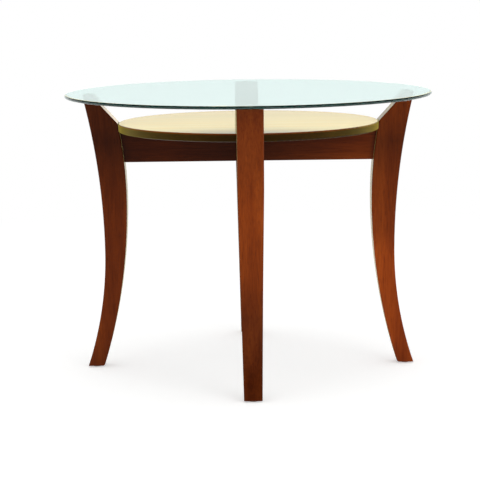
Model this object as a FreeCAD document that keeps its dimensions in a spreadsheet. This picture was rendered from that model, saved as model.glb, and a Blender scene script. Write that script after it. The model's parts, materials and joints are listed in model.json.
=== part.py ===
"""Round glass-topped corner table on four sabre legs, as a parametric document in millimetres.

The origin lies on the floor under the middle of the table. +Z is up and the front leg stands at -Y.
Every piece that belongs to a leg is drawn for a leg on +X and turned about Z to its place.
"""

import FreeCAD, Part
import enum
import math
import os

import Sketcher
from FreeCAD import Placement, Rotation, Vector

# Driving dimensions: name, millimetres, meaning.
SIZES = (
    ("table_height", 560.0, "floor to the top of the glass"),
    ("glass_thickness", 6.0, "sheet of the top"),
    ("glass_overhang", 37.0, "glass rim past the outer edge of the leg tops"),
    ("glass_arris", 1.0, "bevel along both rims of the glass"),
    ("shelf_gap", 54.0, "shelf top to the underside of the glass"),
    ("shelf_diameter", 524.0, "round shelf over its rim"),
    ("shelf_thickness", 16.0, "board of the shelf"),
    ("shelf_edge_radius", 2.5, "rounding of both shelf rims"),
    ("rim_clearance", 0.3, "shelf rim to the notch in each leg"),
    ("rail_height", 63.0, "depth of the cross rails"),
    ("rail_thickness", 28.0, "width of the cross rails"),
    ("rail_edge_radius", 2.0, "rounding of the lower rail edges"),
    ("tenon_thickness", 12.0, "cheek to cheek"),
    ("tenon_shoulder", 8.0, "step above and below each tenon"),
    ("tenon_reach", 20.0, "tenon end past the shelf rim"),
    ("joint_gap", 0.1, "glue line of tenons, shoulders and cross-lap"),
    ("leg_width", 50.0, "leg across its face, down to the rails"),
    ("foot_width", 35.0, "leg across its face, at the foot"),
    ("taper_ease", 40.0, "arc that leads from the upright cheek into the taper"),
    ("leg_depth", 46.5, "belly of the inner curve to the waist of the outer curve"),
    ("belly_inset", 15.0, "inner curve inside the shelf rim, at its belly"),
    ("belly_drop", 157.0, "shelf top down to the belly"),
    ("waist_drop", 260.0, "shelf top down to the waist"),
    ("foot_kick", 39.5, "foot past the waist"),
    ("foot_depth", 33.0, "foot from heel to toe"),
    ("top_flare", 37.5, "leg top past the waist"),
    ("top_depth", 20.5, "leg top from inner to outer edge"),
    ("leg_edge_bevel", 1.5, "easing of the long leg edges"),
    ("heel_radius", 6.0, "rounding of the inner edge of the foot"),
    ("bumper_diameter", 12.0, "soft bumper in each leg top"),
    ("bumper_height", 3.0, "whole bumper"),
    ("bumper_proud", 1.0, "bumper above the leg top"),
    ("bumper_bevel", 0.5, "bevel of the bumper's upper edge"),
    ("bumper_clearance", 0.1, "bumper to its recess"),
    ("glide_diameter", 20.0, "nylon glide under each foot"),
    ("glide_height", 3.0, "glide under the wood"),
    ("glide_bevel", 1.0, "bevel of the glide's lower edge"),
    ("nail_diameter", 2.4, "shank of the glide nail"),
    ("nail_length", 18.0, "nail above the glide"),
    ("nail_head_diameter", 6.0, "flat head of the glide nail"),
    ("nail_head_height", 1.0, "thickness of that head"),
    ("nail_sink", 0.6, "nail head above the floor"),
    ("nail_clearance", 0.05, "nail to its hole"),
    ("screw_inset", 92.0, "shelf screws inside the shelf rim"),
    ("screw_diameter", 4.0, "shank of the shelf screws"),
    ("screw_grip", 26.0, "rail wood between screw head and shelf"),
    ("screw_bite", 11.0, "screw inside the shelf"),
    ("screw_head_diameter", 8.0, "pan head of the shelf screws"),
    ("screw_head_height", 3.0, "pan head of the shelf screws"),
    ("screw_clearance", 0.1, "screw shank to its holes"),
    ("counterbore_diameter", 10.0, "screw access hole from below"),
)

# Places worked out from the driving dimensions, as expressions on the sheet.
GLASS_UNDERSIDE = "(Sizes.table_height - Sizes.glass_thickness)"
LEG_TOP = f"({GLASS_UNDERSIDE} - Sizes.bumper_proud)"
SHELF_TOP = f"({GLASS_UNDERSIDE} - Sizes.shelf_gap)"
SHELF_UNDERSIDE = f"({SHELF_TOP} - Sizes.shelf_thickness)"
RAIL_BOTTOM = f"({SHELF_UNDERSIDE} - Sizes.rail_height)"
RAIL_MIDDLE = f"({SHELF_UNDERSIDE} - Sizes.rail_height / 2)"
BELLY_HEIGHT = f"({SHELF_TOP} - Sizes.belly_drop)"
WAIST_HEIGHT = f"({SHELF_TOP} - Sizes.waist_drop)"
FOOT_HEIGHT = "Sizes.glide_height"

SHELF_RADIUS = "(Sizes.shelf_diameter / 2)"
BELLY_RADIUS = f"({SHELF_RADIUS} - Sizes.belly_inset)"
WAIST_RADIUS = f"({BELLY_RADIUS} + Sizes.leg_depth)"
TOP_OUTER = f"({WAIST_RADIUS} + Sizes.top_flare)"
TOP_INNER = f"({TOP_OUTER} - Sizes.top_depth)"
TOP_CENTRE = f"({TOP_OUTER} - Sizes.top_depth / 2)"
FOOT_OUTER = f"({WAIST_RADIUS} + Sizes.foot_kick)"
FOOT_INNER = f"({FOOT_OUTER} - Sizes.foot_depth)"
FOOT_CENTRE = f"({FOOT_OUTER} - Sizes.foot_depth / 2)"
GLASS_RADIUS = f"({TOP_OUTER} + Sizes.glass_overhang)"

# The taper of a cheek starts with an arc that is tangent to the upright cheek and to the taper.
EASE_STEP = (
    "((Sizes.leg_width - Sizes.foot_width) / 2 * Sizes.taper_ease"
    f" / (2 * ({RAIL_BOTTOM} - {FOOT_HEIGHT}) - Sizes.taper_ease))"
)

# The inner curve above the belly is one arc, which the rail shoulders are scribed to.
SCRIBE_RADIUS = "((Sizes.belly_drop ^ 2 + Sizes.belly_inset ^ 2) / (2 * Sizes.belly_inset))"
SCRIBE_CENTRE = f"({BELLY_RADIUS} + {SCRIBE_RADIUS})"
SHOULDER_RADIUS = f"({SCRIBE_RADIUS} + Sizes.joint_gap)"

TENON_END = f"({SHELF_RADIUS} + Sizes.tenon_reach)"
TENON_TOP = f"({SHELF_UNDERSIDE} - Sizes.tenon_shoulder)"
TENON_BOTTOM = f"({RAIL_BOTTOM} + Sizes.tenon_shoulder)"
SCREW_PLACE = f"({SHELF_RADIUS} - Sizes.screw_inset)"
SCREW_SEAT = f"({SHELF_UNDERSIDE} - Sizes.screw_grip)"
SCREW_HOLE = "(Sizes.screw_diameter + 2 * Sizes.screw_clearance)"
NAIL_HOLE = "(Sizes.nail_diameter + 2 * Sizes.nail_clearance)"

# Turn of each leg about +Z, in degrees from +X.
SIDES = {"right": 0.0, "back": 90.0, "left": 180.0, "front": 270.0}

TOLERANCE = 1e-6
FULL_TURN = 360.0


class SketchPart(enum.IntEnum):
    """Numbers by which a sketch knows its own axes and the points of its edges."""

    VERTICAL_AXIS = -2
    HORIZONTAL_AXIS = -1
    START = 1
    CENTRE = 3


ORIGIN_POINT = (SketchPart.HORIZONTAL_AXIS, SketchPart.START)


def make_sheet(doc):
    """Writes the driving dimensions to a sheet, one per row, with an alias each."""
    sheet = doc.addObject("Spreadsheet::Sheet", "Sizes")
    for row, (name, millimetres, meaning) in enumerate(SIZES, start=1):
        sheet.set(f"A{row}", name)
        sheet.set(f"B{row}", str(millimetres))
        sheet.set(f"C{row}", meaning)
        sheet.setAlias(f"B{row}", name)
    doc.recompute()
    return sheet


def new_body(doc, label, turn=0.0):
    """Adds an empty body that is turned about Z to its place."""
    body = doc.addObject("PartDesign::Body", label)
    body.Label = label
    body.Placement = Placement(Vector(), Rotation(Vector(0, 0, 1), turn))
    return body


def origin_feature(body, role):
    """Finds a plane or axis of the body's own origin."""
    return next(feature for feature in body.Origin.OriginFeatures if feature.Role == role)


def add_sketch(body, name, role, height=None):
    """Adds a sketch on an origin plane, raised along the plane's normal if a height is given."""
    sketch = body.newObject("Sketcher::SketchObject", f"{body.Label}_{name}")
    sketch.AttachmentSupport = [(origin_feature(body, role), "")]
    sketch.MapMode = "FlatFace"
    if height is not None:
        sketch.setExpression("AttachmentOffset.Base.z", height)
    return sketch


def measure(sketch, expression):
    """Works out an expression on the sheet as a plain number."""
    return float(sketch.evalExpression(expression))


def bind(sketch, constraint, name, expression):
    """Adds a dimension to a sketch, named and driven by the sheet."""
    index = sketch.addConstraint(constraint)
    sketch.renameConstraint(index, name)
    sketch.setExpression(f"Constraints.{name}", expression)


def place_point(sketch, geometry, position, name, across, up):
    """Fixes one point of a sketch at two expressions, on an axis where one of them is zero."""
    for kind, axis, expression, letter in (
        ("DistanceX", SketchPart.VERTICAL_AXIS, across, "across"),
        ("DistanceY", SketchPart.HORIZONTAL_AXIS, up, "up"),
    ):
        distance = measure(sketch, expression)
        if abs(distance) < TOLERANCE:
            sketch.addConstraint(Sketcher.Constraint("PointOnObject", geometry, position, axis))
        else:
            dimension = Sketcher.Constraint(kind, *ORIGIN_POINT, geometry, position, distance)
            bind(sketch, dimension, f"{name}_{letter}", expression)


def arc_between(start, end, centre_height):
    """Makes the shorter arc between two points about a centre at a given height.

    Returns the arc, and the numbers of its points that lie at start and end.
    """
    square_step = end.x**2 + end.y**2 - start.x**2 - start.y**2
    centre_across = (square_step - 2 * centre_height * (end.y - start.y)) / (2 * (end.x - start.x))
    centre = Vector(centre_across, centre_height, 0)
    circle = Part.Circle(centre, Vector(0, 0, 1), (start - centre).Length)
    start_angle = math.atan2(start.y - centre.y, start.x - centre.x)
    end_angle = math.atan2(end.y - centre.y, end.x - centre.x)
    if math.sin(end_angle - start_angle) > 0:
        return Part.ArcOfCircle(circle, start_angle, end_angle), 1, 2
    return Part.ArcOfCircle(circle, end_angle, start_angle), 2, 1


def draw_outline(sketch, corners, arc_heights=None):
    """Draws a closed outline through named corners.

    corners maps a name to its two expressions. arc_heights maps the corner where an arc starts to
    the height of the arc's centre; every other edge is straight.
    """
    arc_heights = arc_heights or {}
    names = list(corners)
    points = [Vector(*(measure(sketch, place) for place in corners[name]), 0) for name in names]
    ends = []
    for index, name in enumerate(names):
        start = points[index]
        end = points[(index + 1) % len(points)]
        if name in arc_heights:
            edge, first, last = arc_between(start, end, measure(sketch, arc_heights[name]))
        else:
            edge, first, last = Part.LineSegment(start, end), 1, 2
        ends.append((sketch.addGeometry(edge), first, last))
    for index, name in enumerate(names):
        geometry, first, _ = ends[index]
        before, _, last = ends[index - 1]
        sketch.addConstraint(Sketcher.Constraint("Coincident", before, last, geometry, first))
        place_point(sketch, geometry, first, name, *corners[name])
        if name in arc_heights:
            level = Sketcher.Constraint(
                "DistanceY", *ORIGIN_POINT, geometry, SketchPart.CENTRE, measure(sketch, arc_heights[name])
            )
            bind(sketch, level, f"{name}_arc_level", arc_heights[name])


def draw_circle(sketch, name, across, up, diameter):
    """Draws one circle at two expressions, with its diameter driven by the sheet."""
    centre = Vector(measure(sketch, across), measure(sketch, up), 0)
    size = measure(sketch, diameter)
    geometry = sketch.addGeometry(Part.Circle(centre, Vector(0, 0, 1), size / 2))
    place_point(sketch, geometry, SketchPart.CENTRE, name, across, up)
    bind(sketch, Sketcher.Constraint("Diameter", geometry, size), f"{name}_diameter", diameter)


def pad(body, name, sketch, length, symmetric=False):
    """Raises a sketch into a solid, to one side or to both."""
    feature = body.newObject("PartDesign::Pad", f"{body.Label}_{name}")
    feature.Profile = sketch
    feature.SideType = "Symmetric" if symmetric else "One side"
    feature.setExpression("Length", length)
    body.Document.recompute()
    return feature


def cut(body, name, sketch, length=None, symmetric=False, against_normal=True):
    """Cuts a sketch out of a body, through all of it unless a length is given."""
    volume = body.Shape.Volume
    feature = body.newObject("PartDesign::Pocket", f"{body.Label}_{name}")
    feature.Profile = sketch
    feature.SideType = "Symmetric" if symmetric else "One side"
    feature.Reversed = not against_normal
    if length is None:
        feature.Type = "ThroughAll"
    else:
        feature.setExpression("Length", length)
    body.Document.recompute()
    if body.Shape.Volume > volume - TOLERANCE:
        raise RuntimeError(f"{feature.Name} cut nothing")
    return feature


def round_edges(body, name, radius, wanted):
    """Rounds the edges of the body so far that a test picks out."""
    base = body.Tip
    edges = [f"Edge{number}" for number, edge in enumerate(base.Shape.Edges, start=1) if wanted(edge)]
    feature = body.newObject("PartDesign::Fillet", f"{body.Label}_{name}")
    feature.Base = (base, edges)
    feature.setExpression("Radius", radius)
    body.Document.recompute()
    return feature


def bevel_edges(body, name, size, wanted):
    """Bevels the edges of the body so far that a test picks out."""
    base = body.Tip
    edges = [f"Edge{number}" for number, edge in enumerate(base.Shape.Edges, start=1) if wanted(edge)]
    feature = body.newObject("PartDesign::Chamfer", f"{body.Label}_{name}")
    feature.Base = (base, edges)
    feature.setExpression("Size", size)
    body.Document.recompute()
    return feature


def spin(body, name, corners, axis_place=None):
    """Turns an outline about the table's middle, or about an upright axis at a distance from it."""
    sketch = add_sketch(body, f"{name}_profile", "XZ_Plane")
    draw_outline(sketch, corners)
    axis = "V_Axis"
    if axis_place is not None:
        across = measure(sketch, axis_place)
        line = Part.LineSegment(Vector(across, 0, 0), Vector(across, across, 0))
        geometry = sketch.addGeometry(line, True)
        sketch.addConstraint(Sketcher.Constraint("Vertical", geometry))
        sketch.addConstraint(Sketcher.Constraint("PointOnObject", geometry, 1, SketchPart.HORIZONTAL_AXIS))
        place = Sketcher.Constraint("DistanceX", *ORIGIN_POINT, geometry, 1, across)
        bind(sketch, place, "axis_across", axis_place)
        axis = "Axis0"
    feature = body.newObject("PartDesign::Revolution", f"{body.Label}_{name}")
    feature.Profile = sketch
    feature.ReferenceAxis = (sketch, [axis])
    feature.Angle = FULL_TURN
    body.Document.recompute()
    return feature


def repeat_round(body, name, feature):
    """Repeats a feature at each of the four legs, as separate solids."""
    pattern = body.newObject("PartDesign::PolarPattern", f"{body.Label}_{name}")
    pattern.Originals = [feature]
    pattern.Axis = (origin_feature(body, "Z_Axis"), [""])
    pattern.Angle = FULL_TURN
    pattern.Occurrences = len(SIDES)
    body.Tip = pattern
    body.Document.recompute()
    return pattern


def make_leg(doc, side):
    """Sabre leg: two-arc curves inside and out, tapered face, shelf notch, mortise and end holes."""
    body = new_body(doc, f"leg_{side}", SIDES[side])
    profile = add_sketch(body, "profile", "XZ_Plane")
    draw_outline(
        profile,
        {
            "heel": (FOOT_INNER, FOOT_HEIGHT),
            "toe": (FOOT_OUTER, FOOT_HEIGHT),
            "waist": (WAIST_RADIUS, WAIST_HEIGHT),
            "top_outer": (TOP_OUTER, LEG_TOP),
            "top_inner": (TOP_INNER, LEG_TOP),
            "shelf_corner": (SHELF_RADIUS, SHELF_TOP),
            "belly": (BELLY_RADIUS, BELLY_HEIGHT),
        },
        arc_heights={
            "toe": WAIST_HEIGHT,
            "waist": WAIST_HEIGHT,
            "shelf_corner": BELLY_HEIGHT,
            "belly": BELLY_HEIGHT,
        },
    )
    pad(body, "blank", profile, "Sizes.leg_width", symmetric=True)

    for cheek, sign in (("near", ""), ("far", "-")):
        taper = add_sketch(body, f"{cheek}_taper", "YZ_Plane")
        draw_outline(
            taper,
            {
                "start": (f"{sign}Sizes.leg_width / 2", RAIL_BOTTOM),
                "eased": (
                    f"{sign}(Sizes.leg_width / 2 - {EASE_STEP})",
                    f"{RAIL_BOTTOM} - Sizes.taper_ease",
                ),
                "foot": (f"{sign}Sizes.foot_width / 2", FOOT_HEIGHT),
                "corner": (f"{sign}Sizes.leg_width / 2", FOOT_HEIGHT),
            },
            arc_heights={"start": RAIL_BOTTOM},
        )
        cut(body, f"{cheek}_taper_cut", taper, symmetric=True)

    bevel_edges(
        body,
        "edge_bevel",
        "Sizes.leg_edge_bevel",
        lambda edge: edge.BoundBox.YMin * edge.BoundBox.YMax > 0 and edge.BoundBox.ZLength > TOLERANCE,
    )
    heel_place = Vector(measure(profile, FOOT_INNER), 0, measure(profile, FOOT_HEIGHT))
    round_edges(
        body,
        "heel_rounding",
        "Sizes.heel_radius",
        lambda edge: edge.CenterOfMass.distanceToPoint(heel_place) < TOLERANCE,
    )

    notch = add_sketch(body, "shelf_notch", "XY_Plane", SHELF_UNDERSIDE)
    draw_circle(notch, "rim", "0", "0", "Sizes.shelf_diameter + 2 * Sizes.rim_clearance")
    cut(body, "shelf_notch_cut", notch, against_normal=False)

    mortise = add_sketch(body, "mortise", "XZ_Plane")
    draw_outline(
        mortise,
        {
            "mouth_low": (BELLY_RADIUS, f"{TENON_BOTTOM} - Sizes.joint_gap"),
            "end_low": (f"{TENON_END} + Sizes.joint_gap", f"{TENON_BOTTOM} - Sizes.joint_gap"),
            "end_high": (f"{TENON_END} + Sizes.joint_gap", f"{TENON_TOP} + Sizes.joint_gap"),
            "mouth_high": (BELLY_RADIUS, f"{TENON_TOP} + Sizes.joint_gap"),
        },
    )
    cut(body, "mortise_cut", mortise, "Sizes.tenon_thickness + 2 * Sizes.joint_gap", symmetric=True)

    recess = add_sketch(body, "bumper_recess", "XY_Plane", LEG_TOP)
    draw_circle(recess, "recess", TOP_CENTRE, "0", "Sizes.bumper_diameter + 2 * Sizes.bumper_clearance")
    cut(body, "bumper_recess_cut", recess, "Sizes.bumper_height - Sizes.bumper_proud")

    nail_hole = add_sketch(body, "nail_hole", "XY_Plane", FOOT_HEIGHT)
    draw_circle(nail_hole, "hole", FOOT_CENTRE, "0", NAIL_HOLE)
    depth = "Sizes.nail_length + Sizes.nail_clearance"
    cut(body, "nail_hole_cut", nail_hole, depth, against_normal=False)
    return body


def draw_rail_web(sketch):
    """Draws a rail between its shoulders: level edges and two ends scribed to the leg arc."""
    radius = measure(sketch, SHOULDER_RADIUS)
    middle = Vector(measure(sketch, SCRIBE_CENTRE), measure(sketch, BELLY_HEIGHT), 0)
    heights = [measure(sketch, place) for place in (RAIL_BOTTOM, SHELF_UNDERSIDE)]
    low, high = (
        Vector(middle.x - math.sqrt(radius**2 - (height - middle.y) ** 2), height, 0) for height in heights
    )
    mirror = [Vector(-point.x, point.y, 0) for point in (low, high)]
    bottom = sketch.addGeometry(Part.LineSegment(mirror[0], low))
    top = sketch.addGeometry(Part.LineSegment(high, mirror[1]))
    ends = {}
    for name, start, end in (("right", high, low), ("left", mirror[0], mirror[1])):
        arc, first, last = arc_between(start, end, middle.y)
        ends[name] = (sketch.addGeometry(arc), first, last)
    for first_edge, first_point, second_edge, second_point in (
        (bottom, 2, ends["right"][0], ends["right"][2]),
        (ends["right"][0], ends["right"][1], top, 1),
        (top, 2, ends["left"][0], ends["left"][2]),
        (ends["left"][0], ends["left"][1], bottom, 1),
    ):
        sketch.addConstraint(
            Sketcher.Constraint("Coincident", first_edge, first_point, second_edge, second_point)
        )
    sketch.addConstraint(Sketcher.Constraint("Horizontal", bottom))
    sketch.addConstraint(Sketcher.Constraint("Horizontal", top))
    for name, edge, height in (("bottom", bottom, RAIL_BOTTOM), ("top", top, SHELF_UNDERSIDE)):
        level = Sketcher.Constraint("DistanceY", *ORIGIN_POINT, edge, 1, measure(sketch, height))
        bind(sketch, level, f"{name}_level", height)
    for name, sign in (("right", ""), ("left", "-")):
        arc = ends[name][0]
        place_point(sketch, arc, SketchPart.CENTRE, f"{name}_scribe", f"{sign}{SCRIBE_CENTRE}", BELLY_HEIGHT)
        bind(sketch, Sketcher.Constraint("Radius", arc, radius), f"{name}_scribe_radius", SHOULDER_RADIUS)


def make_rail(doc, label, turn, lap_from_top):
    """Cross rail: shoulders scribed to the legs, a tenon at each end and half of the cross-lap."""
    body = new_body(doc, label, turn)
    web = add_sketch(body, "web", "XZ_Plane")
    draw_rail_web(web)
    pad(body, "blank", web, "Sizes.rail_thickness", symmetric=True)
    rail_bottom = measure(web, RAIL_BOTTOM)
    thickness = measure(web, "Sizes.rail_thickness")
    round_edges(
        body,
        "edge_rounding",
        "Sizes.rail_edge_radius",
        lambda edge: abs(edge.BoundBox.ZMax - rail_bottom) < TOLERANCE and edge.BoundBox.XLength > thickness,
    )

    tenons = add_sketch(body, "tenons", "XZ_Plane")
    draw_outline(
        tenons,
        {
            "left_low": (f"-{TENON_END}", TENON_BOTTOM),
            "right_low": (TENON_END, TENON_BOTTOM),
            "right_high": (TENON_END, TENON_TOP),
            "left_high": (f"-{TENON_END}", TENON_TOP),
        },
    )
    pad(body, "tenon_bar", tenons, "Sizes.tenon_thickness", symmetric=True)

    lap = add_sketch(body, "lap", "XZ_Plane")
    open_side = SHELF_UNDERSIDE if lap_from_top else RAIL_BOTTOM
    lap_side = "-" if lap_from_top else "+"
    lap_floor = f"{RAIL_MIDDLE} {lap_side} Sizes.joint_gap / 2"
    half_lap = "(Sizes.rail_thickness / 2 + Sizes.joint_gap)"
    draw_outline(
        lap,
        {
            "left_floor": (f"-{half_lap}", lap_floor),
            "right_floor": (half_lap, lap_floor),
            "right_open": (half_lap, open_side),
            "left_open": (f"-{half_lap}", open_side),
        },
    )
    cut(body, "lap_cut", lap, symmetric=True)

    for name, diameter, depth in (
        ("screw_hole", SCREW_HOLE, None),
        ("counterbore", "Sizes.counterbore_diameter", "Sizes.rail_height - Sizes.screw_grip"),
    ):
        holes = add_sketch(body, name, "XY_Plane", RAIL_BOTTOM)
        draw_circle(holes, "right", SCREW_PLACE, "0", diameter)
        draw_circle(holes, "left", f"-{SCREW_PLACE}", "0", diameter)
        cut(body, f"{name}_cut", holes, depth, against_normal=False)
    return body


def make_shelf(doc):
    """Round shelf with rounded rims and blind pilot holes for its screws."""
    body = new_body(doc, "shelf")
    disc = add_sketch(body, "disc", "XY_Plane", SHELF_UNDERSIDE)
    draw_circle(disc, "rim", "0", "0", "Sizes.shelf_diameter")
    pad(body, "board", disc, "Sizes.shelf_thickness")
    round_edges(
        body,
        "rim_rounding",
        "Sizes.shelf_edge_radius",
        lambda edge: isinstance(edge.Curve, Part.Circle),
    )
    pilots = add_sketch(body, "pilots", "XY_Plane", SHELF_UNDERSIDE)
    for name, across, up in (
        ("right", SCREW_PLACE, "0"),
        ("back", "0", SCREW_PLACE),
        ("left", f"-{SCREW_PLACE}", "0"),
        ("front", "0", f"-{SCREW_PLACE}"),
    ):
        draw_circle(pilots, name, across, up, SCREW_HOLE)
    cut(body, "pilot_cut", pilots, "Sizes.screw_bite + Sizes.screw_clearance", against_normal=False)
    return body


def make_glass(doc):
    """Round glass sheet with a polished edge and an arris along both rims."""
    body = new_body(doc, "glass_top")
    spin(
        body,
        "sheet",
        {
            "middle_low": ("0", GLASS_UNDERSIDE),
            "face_low": (f"{GLASS_RADIUS} - Sizes.glass_arris", GLASS_UNDERSIDE),
            "rim_low": (GLASS_RADIUS, f"{GLASS_UNDERSIDE} + Sizes.glass_arris"),
            "rim_high": (GLASS_RADIUS, "Sizes.table_height - Sizes.glass_arris"),
            "face_high": (f"{GLASS_RADIUS} - Sizes.glass_arris", "Sizes.table_height"),
            "middle_high": ("0", "Sizes.table_height"),
        },
    )
    return body


def make_bumper(doc, side):
    """Soft clear bumper that stands in the recess of one leg top."""
    body = new_body(doc, f"bumper_{side}", SIDES[side])
    rim = f"{TOP_CENTRE} + Sizes.bumper_diameter / 2"
    floor = f"{GLASS_UNDERSIDE} - Sizes.bumper_height"
    spin(
        body,
        "stud",
        {
            "middle_low": (TOP_CENTRE, floor),
            "rim_low": (rim, floor),
            "rim_high": (rim, f"{GLASS_UNDERSIDE} - Sizes.bumper_bevel"),
            "face": (f"{rim} - Sizes.bumper_bevel", GLASS_UNDERSIDE),
            "middle_high": (TOP_CENTRE, GLASS_UNDERSIDE),
        },
        axis_place=TOP_CENTRE,
    )
    return body


def make_glide(doc, side):
    """Nylon glide under one foot, with a stepped hole for its nail."""
    body = new_body(doc, f"glide_{side}", SIDES[side])
    rim = f"{FOOT_CENTRE} + Sizes.glide_diameter / 2"
    bore = f"{FOOT_CENTRE} + {NAIL_HOLE} / 2"
    head_bore = f"{FOOT_CENTRE} + Sizes.nail_head_diameter / 2 + Sizes.nail_clearance"
    head_seat = "Sizes.nail_sink + Sizes.nail_head_height"
    spin(
        body,
        "disc",
        {
            "mouth": (head_bore, "0"),
            "sole": (f"{rim} - Sizes.glide_bevel", "0"),
            "rim_low": (rim, "Sizes.glide_bevel"),
            "rim_high": (rim, FOOT_HEIGHT),
            "bore_high": (bore, FOOT_HEIGHT),
            "bore_low": (bore, head_seat),
            "head_seat": (head_bore, head_seat),
        },
        axis_place=FOOT_CENTRE,
    )
    return body


def make_glide_nails(doc):
    """The four nails that hold the glides, as separate solids."""
    body = new_body(doc, "glide_nails")
    body.AllowCompound = True
    shank = f"{FOOT_CENTRE} + Sizes.nail_diameter / 2"
    head = f"{FOOT_CENTRE} + Sizes.nail_head_diameter / 2"
    head_top = "Sizes.nail_sink + Sizes.nail_head_height"
    tip = f"{FOOT_HEIGHT} + Sizes.nail_length"
    nail = spin(
        body,
        "nail",
        {
            "head_middle": (FOOT_CENTRE, "Sizes.nail_sink"),
            "head_low": (head, "Sizes.nail_sink"),
            "head_high": (head, head_top),
            "neck": (shank, head_top),
            "point_base": (shank, f"{tip} - Sizes.nail_diameter"),
            "tip": (FOOT_CENTRE, tip),
        },
        axis_place=FOOT_CENTRE,
    )
    repeat_round(body, "set", nail)
    return body


def make_shelf_screws(doc):
    """The four screws from the rails up into the shelf, as separate solids."""
    body = new_body(doc, "shelf_screws")
    body.AllowCompound = True
    shank = f"{SCREW_PLACE} + Sizes.screw_diameter / 2"
    head = f"{SCREW_PLACE} + Sizes.screw_head_diameter / 2"
    tip = f"{SHELF_UNDERSIDE} + Sizes.screw_bite"
    crown = f"{SCREW_SEAT} - Sizes.screw_head_height"
    screw = spin(
        body,
        "screw",
        {
            "crown": (SCREW_PLACE, crown),
            "crown_edge": (shank, crown),
            "head_low": (head, f"{SCREW_SEAT} - Sizes.screw_head_height / 2"),
            "head_high": (head, SCREW_SEAT),
            "neck": (shank, SCREW_SEAT),
            "point_base": (shank, f"{tip} - Sizes.screw_diameter"),
            "tip": (SCREW_PLACE, tip),
        },
        axis_place=SCREW_PLACE,
    )
    repeat_round(body, "set", screw)
    return body


def make_pieces(doc):
    """Builds every separate piece of the table."""
    pieces = [make_glass(doc), make_shelf(doc)]
    pieces.append(make_rail(doc, "rail_left_right", SIDES["right"], lap_from_top=True))
    pieces.append(make_rail(doc, "rail_front_back", SIDES["back"], lap_from_top=False))
    for side in SIDES:
        pieces.append(make_leg(doc, side))
        pieces.append(make_bumper(doc, side))
        pieces.append(make_glide(doc, side))
    pieces.append(make_shelf_screws(doc))
    pieces.append(make_glide_nails(doc))
    return pieces


def check(doc, pieces):
    """Stops on any failed object or any piece without a sound solid."""
    doc.recompute()
    for item in doc.Objects:
        if "Invalid" in item.State or "Error" in item.State:
            raise RuntimeError(f"{item.Name} failed: {item.State}")
    for piece in pieces:
        if piece.Shape.isNull() or not piece.Shape.isValid() or not piece.Shape.Solids:
            raise RuntimeError(f"{piece.Label} has no sound solid")


def main():
    """Builds the table and writes one file per piece."""
    doc = FreeCAD.newDocument("corner_table")
    make_sheet(doc)
    pieces = make_pieces(doc)
    check(doc, pieces)
    os.makedirs("parts", exist_ok=True)
    for piece in pieces:
        piece.Shape.exportStep(os.path.join("parts", f"{piece.Label}.step"))
        solids = len(piece.Shape.Solids)
        print(f"{piece.Label}: {solids} solid(s), {piece.Shape.Volume / 1000:.2f} cm3")


if __name__ == "__main__":
    main()
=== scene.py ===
"""Corner table with a loose round glass top on four sabre legs, dressed for its picture.

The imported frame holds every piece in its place. This script gives the wood its cherry grain and gloss,
builds finer meshes for the glass, the bumpers, the glides, the screws and the nails, and sets the floor,
the light and the camera. Lengths are in metres, angles in degrees and the power of lamps in watts.
"""

from __future__ import annotations

import json
import logging
import math
from dataclasses import dataclass, field, replace
from enum import Enum
from typing import Any, Callable, Iterable, Sequence

import bmesh
import bpy
from mathutils import Euler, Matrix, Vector

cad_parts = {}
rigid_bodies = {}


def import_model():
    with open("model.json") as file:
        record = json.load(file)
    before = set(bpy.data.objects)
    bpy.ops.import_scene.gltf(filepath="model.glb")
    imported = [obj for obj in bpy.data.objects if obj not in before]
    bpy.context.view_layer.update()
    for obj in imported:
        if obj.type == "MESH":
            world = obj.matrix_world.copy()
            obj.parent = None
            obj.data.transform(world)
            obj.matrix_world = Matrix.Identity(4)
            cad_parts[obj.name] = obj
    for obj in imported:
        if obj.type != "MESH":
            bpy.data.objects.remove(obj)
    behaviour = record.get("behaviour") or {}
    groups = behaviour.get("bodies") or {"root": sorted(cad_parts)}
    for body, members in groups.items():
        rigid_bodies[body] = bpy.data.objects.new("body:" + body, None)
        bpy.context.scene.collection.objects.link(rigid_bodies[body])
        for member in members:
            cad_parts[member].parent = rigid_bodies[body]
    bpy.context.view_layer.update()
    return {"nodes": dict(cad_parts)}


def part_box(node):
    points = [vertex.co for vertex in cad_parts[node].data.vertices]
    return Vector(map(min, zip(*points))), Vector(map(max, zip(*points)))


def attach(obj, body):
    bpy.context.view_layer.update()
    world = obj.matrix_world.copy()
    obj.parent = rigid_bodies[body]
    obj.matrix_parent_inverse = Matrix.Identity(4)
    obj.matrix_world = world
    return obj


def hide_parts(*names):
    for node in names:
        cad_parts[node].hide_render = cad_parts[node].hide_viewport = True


LOG = logging.getLogger("corner_table")

Colour = tuple[float, float, float]
Point = tuple[float, float, float]
Span = tuple[float, float]
Stops = Iterable[tuple[float, Colour]]
Outline = list[tuple[float, float]]
Ring = list[bmesh.types.BMVert]
RadiusByTurn = Callable[[float], float]
Socket = bpy.types.NodeSocket

WHITE: Colour = (1.0, 1.0, 1.0)
EVEN: Point = (1.0, 1.0, 1.0)
ORIGIN: Point = (0.0, 0.0, 0.0)
UNIT: Span = (0.0, 1.0)
FULL_TURN = 2.0 * math.pi
# The scale of the grain along its run, against 1 across it.
ALONG_GRAIN = 0.055
# The values that most of a noise pattern keeps between.
NOISE_SPAN: Span = (0.3, 0.7)


class Side(Enum):
    """The four places of a leg, with the turn about the upright axis in degrees."""

    RIGHT = 0.0
    BACK = 90.0
    LEFT = 180.0
    FRONT = 270.0

    @property
    def label(self) -> str:
        """Gives the word that ends the names of the pieces on this side."""
        return self.name.lower()

    def place(self, radius: float) -> Vector:
        """Gives the point on the floor at a distance from the middle of the table."""
        turn = math.radians(self.value)
        return Vector((radius * math.cos(turn), radius * math.sin(turn), 0.0))


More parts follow.
